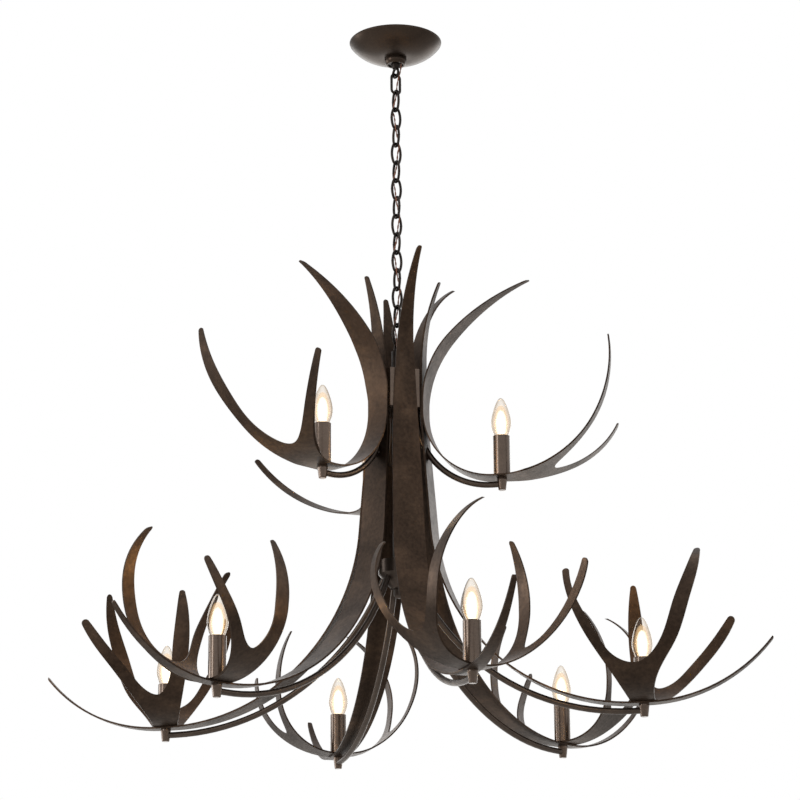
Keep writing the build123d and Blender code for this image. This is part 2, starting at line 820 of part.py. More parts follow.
def plate_profile(bend_end, side, curl, curl_end):
    """Gives the bent line of half a plate, from its flat out and up: a bend, a short straight and a gentler curl."""
    flat_end = Vector(plate_flat, 0)
    way = Vector(cos(radians(bend_end)), sin(radians(bend_end)))
    bent = flat_end + along(bend_end, plate_bend)
    risen = bent + way * side
    curl_tip = risen + along(curl_end, curl) - along(bend_end, curl)
    with BuildLine() as profile:
        Line((-plate_flat / 2, 0), flat_end)
        TangentArc(flat_end, bent, tangent=(1, 0))
        Line(bent, risen)
        TangentArc(risen, curl_tip, tangent=way)
    return profile.line


def antler_plate():
    """Gives an antler plate about its own lamp: the tall pair of prongs to one side, the short pair to the other."""
    tall = plate_half(plate_profile(tall_bend_end, tall_side, tall_curl, tall_curl_end), tall_edges)
    short = plate_half(plate_profile(short_bend_end, short_side, short_curl, short_curl_end), short_edges)
    with BuildPart() as plate:
        add(short)
        add(mirror(tall, about=Plane.XZ, mode=Mode.PRIVATE))
        Hole(nipple_diameter / 2 + slip)
    return plate.part


arm_angles = [360 / arm_count * number for number in range(arm_count)]
upper_angles = [360 / upper_count * number for number in range(upper_count)]
cup_top = lamp_z - strip_thickness / 2
plate_z = lamp_z + strip_thickness / 2 + running + plate_thickness / 2
lamp_seat = plate_z + plate_thickness / 2
upper_cup_top = upper_z - upper_thickness / 2
upper_seat = upper_z + upper_thickness / 2

lower_cup = arm_cup(lamp_ring, cup_top)
upper_cup = arm_cup(upper_ring, upper_cup_top)
tube_path = upper_tube()

with BuildPart() as close_strip:
    add(arm_strip(close_top_radius, close_top_rise))
    add(pipe(tube_path, arm_tube_diameter / 2 + tube_room, 0), mode=Mode.SUBTRACT)
open_strip = arm_strip(open_top_radius, open_top_rise)
plate_at_zero = antler_plate()
for number, angle in enumerate(arm_angles):
    close = number % 2 == 0
    save(turned(close_strip.part if close else open_strip, angle), f"arm_strip_{number + 1}")
    with BuildPart() as plate:
        swing = plate_turn - plate_swing if close else plate_turn + plate_swing
        with Locations(Location((0, 0, 0), (0, 0, angle)) * Location((lamp_ring, 0, plate_z), (0, 0, swing))):
            add(plate_at_zero)
    save(plate.part, f"antler_plate_{number + 1}")

upper_at_zero = upper_strip()
for number, angle in enumerate(upper_angles):
    save(turned(upper_at_zero, angle), f"upper_strip_{number + 1}")

with BuildPart() as lower_tube:
    add(pipe(arm_tube(), arm_tube_diameter / 2, arm_tube_bore / 2))
    add(lower_cup, mode=Mode.SUBTRACT)
    add(lower_hub.part, mode=Mode.SUBTRACT)
save(around(lower_tube.part.solids().sort_by(SortBy.VOLUME)[-1], arm_angles), "lower_arm_tubes")

with BuildPart() as raised_tube:
    add(pipe(tube_path, arm_tube_diameter / 2, arm_tube_bore / 2))
    add(upper_cup, mode=Mode.SUBTRACT)
save(around(raised_tube.part.solids().sort_by(SortBy.VOLUME)[-1], upper_angles), "upper_arm_tubes")


def all_lamps(lower, upper):
    """Gives one node with a lower piece on each arm and an upper piece on each upper arm."""
    with BuildPart() as group:
        add(around(lower, arm_angles))
        add(around(upper, upper_angles))
    return group.part


save(all_lamps(lower_cup, upper_cup), "arm_cups")
save(
    all_lamps(lamp_nipple(lamp_ring, cup_top, lamp_seat), lamp_nipple(upper_ring, upper_cup_top, upper_seat)),
    "lamp_nipples",
)
save(all_lamps(lamp_nut(lamp_ring, lamp_seat), lamp_nut(upper_ring, upper_seat)), "lamp_nuts")
save(all_lamps(candle_cover(lamp_ring, lamp_seat), candle_cover(upper_ring, upper_seat)), "candle_covers")
save(all_lamps(lamp_socket(lamp_ring, lamp_seat), lamp_socket(upper_ring, upper_seat)), "lamp_sockets")

bulb_solids = bulb_parts(candle_lift + candle_height)
bulb_places = [(lamp_ring, angle, lamp_seat) for angle in arm_angles]
bulb_places += [(upper_ring, angle, upper_seat) for angle in upper_angles]
for number, (radius, angle, seat) in enumerate(bulb_places):
    place = Location((0, 0, 0), (0, 0, angle)) * Location((radius, 0, seat))
    save(Compound(children=[solid.moved(place) for solid in bulb_solids]), f"bulb_{number + 1}")
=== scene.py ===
# %% [markdown]
# # Two-tier antler chandelier
# A chandelier of dark bronze steel strips hangs on a chain. Six long strips run down a hub and out under
# six lower lamps, three C-shaped strips carry the upper lamps, and forked antler plates cross the lower
# arms. The CAD frame holds every metal piece at its real place, so this lesson gives those pieces their
# finish and adds the bulbs, the cord and the small worked details. Lengths are in metres, apart from the
# camera's lens and the bulb's profiles, which are in millimetres.

import math

import bpy
import numpy as np
from mathutils import Matrix, Vector


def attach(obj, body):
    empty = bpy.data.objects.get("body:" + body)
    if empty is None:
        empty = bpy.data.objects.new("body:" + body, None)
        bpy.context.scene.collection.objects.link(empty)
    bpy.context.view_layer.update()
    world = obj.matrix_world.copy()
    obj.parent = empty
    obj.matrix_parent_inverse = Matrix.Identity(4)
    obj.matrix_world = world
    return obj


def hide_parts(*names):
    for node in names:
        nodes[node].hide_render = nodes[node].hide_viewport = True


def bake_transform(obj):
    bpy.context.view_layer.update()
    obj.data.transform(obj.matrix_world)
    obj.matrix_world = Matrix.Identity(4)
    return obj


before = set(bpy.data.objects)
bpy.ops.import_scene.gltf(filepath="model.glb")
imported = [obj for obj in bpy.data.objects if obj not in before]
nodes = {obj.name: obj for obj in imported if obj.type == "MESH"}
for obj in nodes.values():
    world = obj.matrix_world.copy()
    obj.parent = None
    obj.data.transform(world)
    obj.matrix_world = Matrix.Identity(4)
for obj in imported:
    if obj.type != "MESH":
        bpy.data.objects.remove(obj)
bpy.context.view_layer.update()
scene = bpy.context.scene
scene.view_settings.view_transform = "Standard"

# %% [markdown]
# ## Camera
# The photograph was taken from below the lamps with a long lens, looking up at the fixture. A long lens far
# away keeps the ring of lamps a flat ellipse. The place, tilt and small roll were found by fitting the
# lamps, the hub and the canopy to their places in the picture.

# %% Place the camera
lens_length = 128.15
sensor_width = 36.0
sideways_shift = 0.0026
camera_place = (1.1235, -4.4301, -2.0231)
camera_turn = math.radians(14.23)
camera_tilt = math.radians(90 + 16.73)
camera_roll = -0.0069
farthest_seen = 100.0

camera = bpy.data.objects.new("camera", bpy.data.cameras.new("camera"))
scene.collection.objects.link(camera)
camera.data.lens = lens_length
camera.data.sensor_width = sensor_width
camera.data.shift_x = sideways_shift
camera.data.clip_end = farthest_seen
turn = Matrix.Rotation(camera_turn, 4, "Z")
tilt = Matrix.Rotation(camera_tilt, 4, "X")
roll = Matrix.Rotation(camera_roll, 4, "Z")
camera.matrix_world = Matrix.Translation(camera_place) @ turn @ tilt @ roll
scene.camera = camera
print("camera:", camera_place, "lens", lens_length)

# %% [markdown]
# ## Studio
# The picture has a pure white ground, and the metal mirrors it: faces that lean back catch the bright panel
# behind the fixture, faces towards the camera stay dark, and undersides show the pale floor. The camera,
# the metal and the glass therefore see plain white, and only matt surfaces are lit by the dimmer room. A
# narrow panel at the left front draws the upright gleam on the candle covers. The panels are hidden from
# light that has passed through glass, because they would bleach the bulbs. The floor is round and wide, so
# that no corner of it shows from any side.


# %% Build the room
def node(tree, kind, links=None, **values):
    """Adds a node, sets its values by attribute or socket name, and links sockets to it."""
    made = tree.nodes.new(kind)
    for label, value in values.items():
        if hasattr(made, label):
            setattr(made, label, value)
        else:
            made.inputs[label.replace("_", " ")].default_value = value
    for target, source in (links or {}).items():
        tree.links.new(source, made.inputs[target])
    return made


white_strength = 1.0
room_strength = 0.56
room_colour = (1.0, 0.985, 0.965, 1)

world = bpy.data.worlds.new("studio")
scene.world = world
world.use_nodes = True
tree = world.node_tree
tree.nodes.clear()
white = node(tree, "ShaderNodeBackground", Color=(1, 1, 1, 1), Strength=white_strength)
room = node(tree, "ShaderNodeBackground", Color=room_colour, Strength=room_strength)
path = node(tree, "ShaderNodeLightPath")
seen = path.outputs["Is Camera Ray"]
for ray in ("Is Glossy Ray", "Is Transmission Ray"):
    either = node(tree, "ShaderNodeMath", {0: seen, 1: path.outputs[ray]}, operation="MAXIMUM")
    seen = either.outputs["Value"]
shades = {"Fac": seen, 1: room.outputs["Background"], 2: white.outputs["Background"]}
mix = node(tree, "ShaderNodeMixShader", shades)
node(tree, "ShaderNodeOutputWorld", {"Surface": mix.outputs["Shader"]})
print("room: white", white_strength, "for camera, metal and glass, and", room_strength, "for matt surfaces")

# %% Hang the light panels
fixture_middle = Vector((0, 0, -0.85))
panel_colour = (1, 0.98, 0.95)


def light_panel(name, place, width, height, power):
    """Hangs a soft panel at a place, turned to the middle of the fixture."""
    light = bpy.data.lights.new(name, "AREA")
    light.shape = "RECTANGLE"
    light.size = width
    light.size_y = height
    light.energy = power
    light.color = panel_colour
    panel = bpy.data.objects.new(name, light)
    scene.collection.objects.link(panel)
    panel.location = place
    panel.rotation_euler = (fixture_middle - Vector(place)).to_track_quat("-Z", "Y").to_euler()
    panel.visible_transmission = False


light_panel("key", (-2.6, -2.6, 0.2), width=0.7, height=2.0, power=34)
light_panel("side", (-3.4, 0.1, -0.9), width=1.4, height=1.4, power=28)
light_panel("back", (-0.5, 3.6, -0.8), width=4.5, height=2.6, power=44)
print("panels: key, side and back")


# %% Lay the floor
def new_material(name):
    """Starts a material, and gives it with its node tree and its Principled shader."""
    made = bpy.data.materials.new(name)
    made.use_nodes = True
    return made, made.node_tree, made.node_tree.nodes["Principled BSDF"]


floor_height = -2.7
floor_reach = 60.0
floor_step = 5
floor_angles = [math.radians(degrees) for degrees in range(0, 360, floor_step)]
floor_rim = [(floor_reach * math.cos(a), floor_reach * math.sin(a), floor_height) for a in floor_angles]
floor_mesh = bpy.data.meshes.new("floor")
floor_mesh.from_pydata(floor_rim, [], [tuple(range(len(floor_rim)))])
floor = bpy.data.objects.new("floor", floor_mesh)
scene.collection.objects.link(floor)
floor_pale, tree, shader = new_material("floor_pale")
shader.inputs["Base Color"].default_value = (0.9, 0.9, 0.89, 1)
shader.inputs["Roughness"].default_value = 0.8
floor_mesh.materials.append(floor_pale)
print("floor:", -floor_height, "m under the ceiling")

# %% [markdown]
# ## Finishes shared by several materials
# Oil-rubbed bronze on sheet steel is a dark coat over brown, with cloudy patches a few centimetres wide and
# a fine grain a few millimetres wide. Both are noise in the object's own coordinates, so one group serves
# every metal: it blends three colours, and gives a roughness and a height that go with the same grain. A
# second group draws long fine lines for drawn metal.


# %% Build the bronze coat group
def group(name, inputs, outputs):
    """Starts a shader group with named inputs and outputs, and gives it with its two end nodes."""
    made = bpy.data.node_groups.new(name, "ShaderNodeTree")
    for label, kind, value in inputs:
        socket = made.interface.new_socket(label, in_out="INPUT", socket_type=kind)
        socket.default_value = value
    for label, kind in outputs:
        made.interface.new_socket(label, in_out="OUTPUT", socket_type=kind)
    return made, made.nodes.new("NodeGroupInput"), made.nodes.new("NodeGroupOutput")


bronze_group, start, end = group(
    "bronze_coat",
    [
        ("Dark", "NodeSocketColor", (0.03, 0.022, 0.017, 1)),
        ("Brown", "NodeSocketColor", (0.07, 0.05, 0.037, 1)),
        ("Rubbed", "NodeSocketColor", (0.14, 0.1, 0.07, 1)),
        ("Cloud", "NodeSocketFloat", 14.0),
        ("Grain", "NodeSocketFloat", 150.0),
        ("Rubbing", "NodeSocketFloat", 0.3),
        ("Smooth", "NodeSocketFloat", 0.34),
        ("Rough", "NodeSocketFloat", 0.52),
    ],
    [("Colour", "NodeSocketColor"), ("Roughness", "NodeSocketFloat"), ("Height", "NodeSocketFloat")],
)
place = node(bronze_group, "ShaderNodeTexCoord").outputs["Object"]
cloud = node(
    bronze_group,
    "ShaderNodeTexNoise",
    {"Vector": place, "Scale": start.outputs["Cloud"]},
    Detail=5.0,
    Roughness=0.6,
    Distortion=0.6,
).outputs["Fac"]
grain = node(
    bronze_group,
    "ShaderNodeTexNoise",
    {"Vector": place, "Scale": start.outputs["Grain"]},
    Detail=4.0,
    Roughness=0.65,
).outputs["Fac"]
speck = node(bronze_group, "ShaderNodeTexVoronoi", {"Vector": place, "Scale": start.outputs["Grain"]})
print("patterns: cloud, grain and speck")

# %% Blend its colours, roughness and height
both = node(bronze_group, "ShaderNodeMix", {"A": cloud, "B": grain}, data_type="FLOAT", Factor=0.45)
both = both.outputs["Result"]
spread = node(bronze_group, "ShaderNodeMapRange", {"Value": both}, From_Min=0.36, From_Max=0.64)
coat = node(
    bronze_group,
    "ShaderNodeMix",
    {"Factor": spread.outputs["Result"], "A": start.outputs["Dark"], "B": start.outputs["Brown"]},
    data_type="RGBA",
)
patch = node(bronze_group, "ShaderNodeMapRange", {"Value": cloud}, From_Min=0.52, From_Max=0.72)
fleck = node(bronze_group, "ShaderNodeMath", {0: patch.outputs["Result"], 1: grain}, operation="MULTIPLY")
wear = {0: fleck.outputs["Value"], 1: start.outputs["Rubbing"]}
worn = node(bronze_group, "ShaderNodeMath", wear, operation="MULTIPLY")
rubbed = node(
    bronze_group,
    "ShaderNodeMix",
    {"Factor": worn.outputs["Value"], "A": coat.outputs["Result"], "B": start.outputs["Rubbed"]},
    data_type="RGBA",
)
gloss = node(
    bronze_group,
    "ShaderNodeMapRange",
    {"Value": both, "To Min": start.outputs["Rough"], "To Max": start.outputs["Smooth"]},
    From_Min=0.3,
    From_Max=0.7,
)
relief = node(bronze_group, "ShaderNodeMath", {0: grain, 1: speck.outputs["Distance"]}, operation="MULTIPLY")
bronze_group.links.new(rubbed.outputs["Result"], end.inputs["Colour"])
bronze_group.links.new(gloss.outputs["Result"], end.inputs["Roughness"])
bronze_group.links.new(relief.outputs["Value"], end.inputs["Height"])
print("group:", bronze_group.name, "with", len(bronze_group.nodes), "nodes")

# %% Build the drawn lines group
along_tube = (900.0, 900.0, 18.0)
line_group, start, end = group(
    "drawn_lines",
    [("Squash", "NodeSocketVector", along_tube)],
    [("Lines", "NodeSocketFloat")],
)
place = node(line_group, "ShaderNodeTexCoord").outputs["Object"]
squash = {0: place, 1: start.outputs["Squash"]}
pulled = node(line_group, "ShaderNodeVectorMath", squash, operation="MULTIPLY")
lines = node(line_group, "ShaderNodeTexNoise", {"Vector": pulled.outputs["Vector"]}, Scale=1.0, Detail=3.0)
line_group.links.new(lines.outputs["Fac"], end.inputs["Lines"])
print("group:", line_group.name, "with", len(line_group.nodes), "nodes")

# %% [markdown]
# ## Bronze and steel
# The sheets are laser-cut, bent and rubbed by hand, so they are the most mottled. Tubes are drawn stock
# with an even coat, and the candle covers, the cups and the hub have a clear lacquer over it. The canopy is
# spun, and the chain is bent wire darkened in a bath. All are metal with the same kind of coat, so each is
# a Principled shader fed by the shared group with its own colours and scale.

# %% Make a coated metal
bump_depth = 0.0006
lacquer_roughness = 0.14


def metal(name, colours, cloud, grain, rubbing, smooth, rough, bump, lines=None, metallic=0.85, lacquer=0.0):
    """Makes a coated metal from the bronze group, with drawn lines in its relief if asked."""
    made, tree, shader = new_material(name)
    coat = node(tree, "ShaderNodeGroup", node_tree=bronze_group)
    for label, colour in zip(("Dark", "Brown", "Rubbed"), colours):
        coat.inputs[label].default_value = (*colour, 1)
    values = {"Cloud": cloud, "Grain": grain, "Rubbing": rubbing, "Smooth": smooth, "Rough": rough}
    for label, value in values.items():
        coat.inputs[label].default_value = value
    relief = coat.outputs["Height"]
    if lines:
        drawn = node(tree, "ShaderNodeGroup", node_tree=line_group)
        drawn.inputs["Squash"].default_value = lines
        relief = drawn.outputs["Lines"]
    bumped = node(tree, "ShaderNodeBump", {"Height": relief}, Strength=bump, Distance=bump_depth)
    tree.links.new(coat.outputs["Colour"], shader.inputs["Base Color"])
    tree.links.new(coat.outputs["Roughness"], shader.inputs["Roughness"])
    tree.links.new(bumped.outputs["Normal"], shader.inputs["Normal"])
    shader.inputs["Metallic"].default_value = metallic
    shader.inputs["Coat Weight"].default_value = lacquer
    shader.inputs["Coat Roughness"].default_value = lacquer_roughness
    return made


bronze = ((0.025, 0.0155, 0.0102), (0.06, 0.038, 0.0252), (0.14, 0.085, 0.051))
even = ((0.05, 0.037, 0.029), (0.085, 0.063, 0.05), (0.13, 0.1, 0.08))
satin = ((0.075, 0.05, 0.035), (0.12, 0.082, 0.059), (0.18, 0.13, 0.095))
spun = ((0.034, 0.023, 0.017), (0.058, 0.04, 0.029), (0.1, 0.07, 0.052))
black = ((0.014, 0.011, 0.0095), (0.032, 0.024, 0.02), (0.08, 0.058, 0.042))
zinc = ((0.34, 0.34, 0.33), (0.52, 0.52, 0.5), (0.66, 0.65, 0.62))
print("colours: dark, brown and rubbed for six metals")

# %% Make the metals
sheet_bronze = metal(
    "sheet_bronze", bronze, cloud=13, grain=170, rubbing=0.55, smooth=0.34, rough=0.54, bump=0.12
)
tube_bronze = metal(
    "tube_bronze",
    even,
    cloud=22,
    grain=320,
    rubbing=0.2,
    smooth=0.27,
    rough=0.4,
    bump=0.06,
    lines=along_tube,
    metallic=0.7,
)
cover_bronze = metal(
    "cover_bronze",
    satin,
    cloud=22,
    grain=320,
    rubbing=0.2,
    smooth=0.24,
    rough=0.34,
    bump=0.03,
    lines=along_tube,
    metallic=0.8,
    lacquer=0.5,
)
canopy_bronze = metal(
    "canopy_bronze", spun, cloud=16, grain=380, rubbing=0.15, smooth=0.26, rough=0.38, bump=0.05
)
chain_bronze = metal(
    "chain_bronze", black, cloud=60, grain=420, rubbing=0.5, smooth=0.28, rough=0.44, bump=0.1
)
plated_steel = metal(
    "plated_steel", zinc, cloud=120, grain=600, rubbing=0.6, smooth=0.22, rough=0.42, bump=0.1, metallic=1.0
)
print("metals: sheet, tube, cover, canopy, chain and plated steel")

# %% [markdown]
# ## Plastics
# The lamp sockets are black moulded plastic, and the cord's jacket is a brown one. Moulded plastic isn't
# quite even, so a fine noise moves its tone, its gloss and its relief a little. One function with two
# colours makes both.

# %% Make the plastics
gloss_spread = 0.1
plastic_bump = 0.1
plastic_depth = 0.0003


def plastic(name, dark, light, scale, rough):
    """Makes a moulded plastic with a fine cloudy tone and grain."""
    made, tree, shader = new_material(name)
    place = node(tree, "ShaderNodeTexCoord").outputs["Object"]
    cloud = node(tree, "ShaderNodeTexNoise", {"Vector": place}, Scale=scale, Detail=4.0).outputs["Fac"]
    tone = node(tree, "ShaderNodeMix", {"Factor": cloud}, data_type="RGBA", A=(*dark, 1), B=(*light, 1))
    dull = rough + gloss_spread
    bright = rough - gloss_spread
    gloss = node(tree, "ShaderNodeMapRange", {"Value": cloud}, To_Min=dull, To_Max=bright)
    bumped = node(tree, "ShaderNodeBump", {"Height": cloud}, Strength=plastic_bump, Distance=plastic_depth)
    tree.links.new(tone.outputs["Result"], shader.inputs["Base Color"])
    tree.links.new(gloss.outputs["Result"], shader.inputs["Roughness"])
    tree.links.new(bumped.outputs["Normal"], shader.inputs["Normal"])
    return made


socket_shell = plastic("socket_shell", (0.012, 0.011, 0.01), (0.035, 0.032, 0.028), scale=500, rough=0.45)
cord_jacket = plastic("cord_jacket", (0.16, 0.05, 0.028), (0.34, 0.13, 0.065), scale=700, rough=0.4)
print("plastics:", socket_shell.name, cord_jacket.name)

# %% [markdown]
# ## Finish of each CAD piece
# A piece's name starts with the kind of piece that it is, so the finish is looked up by the start of the
# name. The longest start that fits wins: canopy_loop gets the chain's finish, and canopy its own.

# %% Give each piece its finish
finish_of = {
    "antler_plate": sheet_bronze,
    "arm_strip": sheet_bronze,
    "upper_strip": sheet_bronze,
    "upper_hub": cover_bronze,
    "lower_hub": tube_bronze,
    "bottom_nut": tube_bronze,
    "centre_tube": tube_bronze,
    "lower_arm_tubes": tube_bronze,
    "upper_arm_tubes": tube_bronze,
    "arm_cups": cover_bronze,
    "candle_covers": cover_bronze,
    "canopy": canopy_bronze,
    "collar_nut": canopy_bronze,
    "canopy_loop": chain_bronze,
    "body_loop": chain_bronze,
    "chain_link": chain_bronze,
    "mounting_strap": plated_steel,
    "ground_screw": plated_steel,
    "strap_nipple": plated_steel,
    "nipple_nut": plated_steel,
    "lamp_nipples": plated_steel,
    "lamp_nuts": plated_steel,
    "lamp_sockets": socket_shell,
    "supply_cord": cord_jacket,
}
for name, piece in nodes.items():
    best = max((key for key in finish_of if name.startswith(key)), key=len, default=None)
    if best:
        piece.data.materials.clear()
        piece.data.materials.append(finish_of[best])
print("finishes:", len(finish_of), "kinds of piece")

# %% [markdown]
# ## Helpers for meshes
# Three ways of making a surface cover all the small pieces here: turning a profile about an upright axis,
# sweeping a round section along a line of points, and joining such surfaces into one mesh with a material
# for each. A turned profile that reaches the axis ends there in one point, so that the surface is closed.


# %% Join surfaces into one mesh
class Shape:
    """Gathers surfaces, each with its own material, into one mesh."""

    def __init__(self):
        self.points = []
        self.faces = []
        self.slots = []
        self.materials = []

    def add(self, points, faces, material):
        """Adds a surface with its material."""
        if material not in self.materials:
            self.materials.append(material)
        base = len(self.points)
        self.points.extend(map(tuple, points))
        self.faces.extend(tuple(base + corner for corner in face) for face in faces)
        self.slots.extend([self.materials.index(material)] * len(faces))

    def build(self, name, shift=(0, 0, 0)):
        """Makes the piece, with its place in its mesh."""
        mesh = bpy.data.meshes.new(name)
        mesh.from_pydata([tuple(np.add(point, shift)) for point in self.points], [], self.faces)
        for material in self.materials:
            mesh.materials.append(material)
        mesh.polygons.foreach_set("material_index", self.slots)
        mesh.polygons.foreach_set("use_smooth", [True] * len(self.faces))
        mesh.update()
        piece = bpy.data.objects.new(name, mesh)
        scene.collection.objects.link(piece)
        return piece


def faces_between(rings):
    """Gives the faces between rings of point numbers, where each ring ends with the number it starts with."""
    faces = []
    for low, high in zip(rings, rings[1:]):
        for k in range(len(low) - 1):
            face = dict.fromkeys((low[k], low[k + 1], high[k + 1], high[k]))
            if len(face) > 2:
                faces.append(tuple(face))
    return faces


print("helpers: shape and faces between rings")

# %% Turn and sweep
pole_radius = 0.0001
first_cross = (0.31, 0.87, 0.38)


def turned(profile, sides, wave=None):
    """Turns (radius, height) points about Z, with faces that point to the right of the way the list runs.

    wave gives how far the radius moves at a height and an angle.
    """
    points = []
    rings = []
    for radius, height in profile:
        corners = sides if radius > pole_radius else 1
        rings.append([len(points) + side % corners for side in range(sides + 1)])
        for side in range(corners):
            angle = 2 * math.pi * side / sides
            reach = radius if corners > 1 else 0
            if wave:
                reach += wave(height, angle)
            points.append((reach * math.cos(angle), reach * math.sin(angle), height))
    return points, faces_between(rings)


def frames_along(line):
    """Gives two cross directions at each point of a line, carried along without twist."""
    tangent = np.gradient(line, axis=0)
    tangent /= np.linalg.norm(tangent, axis=1)[:, None]
    normal = np.cross(tangent[0], first_cross)
    normals = []
    for way in tangent:
        normal = normal - way * normal.dot(way)
        normal = normal / np.linalg.norm(normal)
        normals.append(normal)
    return np.array(normals), np.cross(tangent, normals)


def swept(line, radius, sides):
    """Sweeps a round section along a line of points, and closes both ends."""
    across, up = frames_along(line)
    points = []
    rings = []
    for spot, x, y in zip(line, across, up):
        rings.append([len(points) + side % sides for side in range(sides + 1)])
        for side in range(sides):
            angle = 2 * math.pi * side / sides
            points.append(spot + radius * (x * math.cos(angle) + y * math.sin(angle)))
    near_end = tuple(reversed(rings[0][:-1]))
    far_end = tuple(rings[-1][:-1])
    return points, faces_between(rings) + [near_end, far_end]


print("helpers: turned and swept")

# %% [markdown]
# ## Supply cord
# A lamp cord runs from the canopy loop down to the body loop, a quarter turn round the chain at each link.
# It is two jacketed wires laid together. Its route repeats the CAD route: a point at each place where links
# meet and one at the middle of each link. The points are the control points of a smooth spline, and the
# wires twist about the points read from it. The cord is cut at the middle of each link into lengths.

# %% Lay the cord's route
link_turn = math.radians(-43)
link_count = 15
link_pitch = 0.0327
stem_bottom = -0.040
neck_bottom = -0.049
first_joint = -0.0626
second_joint = -0.0928
body_stem_top = -0.5642
cord_at_stem = 0.0069
cord_at_joint = 0.0043
cord_at_link = 0.0025
joint_heights = [first_joint] + [second_joint - link_pitch * k for k in range(link_count)]
link_middles = [(joint_heights[k] + joint_heights[k + 1]) / 2 for k in range(link_count)]


def round_chain(degrees, radius, height):
    """Gives a point beside the chain, at an angle counted from the way that the first link faces."""
    angle = math.radians(degrees) + link_turn
    return (radius * math.cos(angle), radius * math.sin(angle), height)


start_reach = cord_at_stem * math.sqrt(2)
joint_reach = cord_at_joint * math.sqrt(2)
route = [round_chain(45, start_reach, stem_bottom), round_chain(45, start_reach, neck_bottom)]
for number, height in enumerate(joint_heights):
    route.append(round_chain(90 * number + 45, joint_reach, height))
    if number < link_count:
        route.append(round_chain(90 * number + 90, cord_at_link, link_middles[number]))
route.append(round_chain(90 * link_count + 45, joint_reach, body_stem_top))
print("cord:", len(route), "route points")

# %% Read the smooth line from a spline
spline_order = 3
spline_steps = 10
curve = bpy.data.curves.new("cord_route", "CURVE")
curve.dimensions = "3D"
spline = curve.splines.new("NURBS")
spline.points.add(len(route) - 1)
for point, spot in zip(spline.points, route):
    point.co = (*spot, 1)
spline.order_u = spline_order
spline.use_endpoint_u = True
spline.resolution_u = spline_steps
route_object = bpy.data.objects.new("cord_route", curve)
scene.collection.objects.link(route_object)
bpy.context.view_layer.update()
ready = route_object.evaluated_get(bpy.context.evaluated_depsgraph_get())
read = bpy.data.meshes.new_from_object(ready)
cord_line = np.array([vertex.co for vertex in read.vertices])
bpy.data.objects.remove(route_object)
bpy.data.meshes.remove(read)
steps = np.linalg.norm(np.diff(cord_line, axis=0), axis=1)
print("cord:", len(cord_line), "points on the spline,", round(steps.sum(), 4), "m")

# %% Twist the two wires
cord_points = 700
wire_radius = 0.00072
wire_offset = wire_radius * 0.95
lay_length = 0.02
run = np.concatenate([[0], np.cumsum(steps)])
fine = np.linspace(0, run[-1], cord_points)
cord_line = np.stack([np.interp(fine, run, cord_line[:, axis]) for axis in range(3)], axis=1)
across, up = frames_along(cord_line)
phase = 2 * math.pi * fine / lay_length
offset = across * np.cos(phase)[:, None] + up * np.sin(phase)[:, None]
wires = [cord_line + offset * wire_offset, cord_line - offset * wire_offset]
print("wires:", len(wires), "of radius", wire_radius, "m")

# %% Cut the wires at the links
wire_sides = 10
cut_overlap = 0.0006
end_spare = 0.004
cuts = [stem_bottom + end_spare] + link_middles + [body_stem_top - end_spare]
cord_heights = cord_line[:, 2]
for number, joint_height in enumerate(joint_heights):
    under_top = cord_heights <= cuts[number] + cut_overlap
    over_bottom = cord_heights >= cuts[number + 1] - cut_overlap
    inside = np.where(under_top & over_bottom)[0]
    length = Shape()
    for wire in wires:
        length.add(*swept(wire[inside], wire_radius, wire_sides), cord_jacket)
    piece = length.build(f"cord_{number:02d}")
    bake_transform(piece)
    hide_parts("supply_cord")
print("cord lengths:", len(joint_heights))

# %% [markdown]
# ## Light and glass of the bulbs
# Each lamp is a clear flame bulb, lit. Four filaments glow, and round them is painted glow: a thin film of
# light that stands for the halo of the lit bulb, white hot in the middle and amber where it thins out. A film
# of light has no hard edge, so the painted halo and its core fade out where they are seen edge on. The glass
# is tinted more at its outline, where the eye looks through more of it.

# %% Make the filament
filament_glow, tree, shader = new_material("filament_glow")
place = node(tree, "ShaderNodeTexCoord").outputs["Object"]
beads = node(tree, "ShaderNodeTexNoise", {"Vector": place}, Scale=900.0, Detail=2.0)
hot = (1.0, 0.86, 0.6, 1)
warm = (1.0, 0.74, 0.4, 1)
tone = node(tree, "ShaderNodeMix", {"Factor": beads.outputs["Fac"]}, data_type="RGBA", A=hot, B=warm)
tree.links.new(tone.outputs["Result"], shader.inputs["Emission Color"])
tree.links.new(tone.outputs["Result"], shader.inputs["Base Color"])
shader.inputs["Emission Strength"].default_value = 6.0
print("light:", filament_glow.name)


# %% Make the painted glow halo and its core
def painted_glow_film(name, middle, rim, strength, most, scale):
    """Makes a film of painted glow that fades out towards its outline, from a middle colour to a rim colour.
    """
    made, tree, shader = new_material(name)
    facing = node(tree, "ShaderNodeLayerWeight", Blend=0.5).outputs["Facing"]
    place = node(tree, "ShaderNodeTexCoord").outputs["Object"]
    cloud = node(tree, "ShaderNodeTexNoise", {"Vector": place}, Scale=scale, Detail=2.0).outputs["Fac"]
    warmth = node(tree, "ShaderNodeMath", {0: cloud, 1: facing, 2: facing}, operation="MULTIPLY_ADD")
    tone = node(tree, "ShaderNodeMix", {"Factor": warmth.outputs["Value"]}, data_type="RGBA", A=middle, B=rim)
    thin = node(
        tree,
        "ShaderNodeMapRange",
        {"Value": facing},
        interpolation_type="SMOOTHSTEP",
        From_Min=0.12,
        From_Max=0.85,
        To_Min=most,
        To_Max=0.0,
    )
    tree.links.new(tone.outputs["Result"], shader.inputs["Emission Color"])
    tree.links.new(thin.outputs["Result"], shader.inputs["Alpha"])
    shader.inputs["Base Color"].default_value = (0.02, 0.018, 0.015, 1)
    shader.inputs["Emission Strength"].default_value = strength
    shader.inputs["Roughness"].default_value = 0.6
    shader.inputs["Specular IOR Level"].default_value = 0.0
    return made


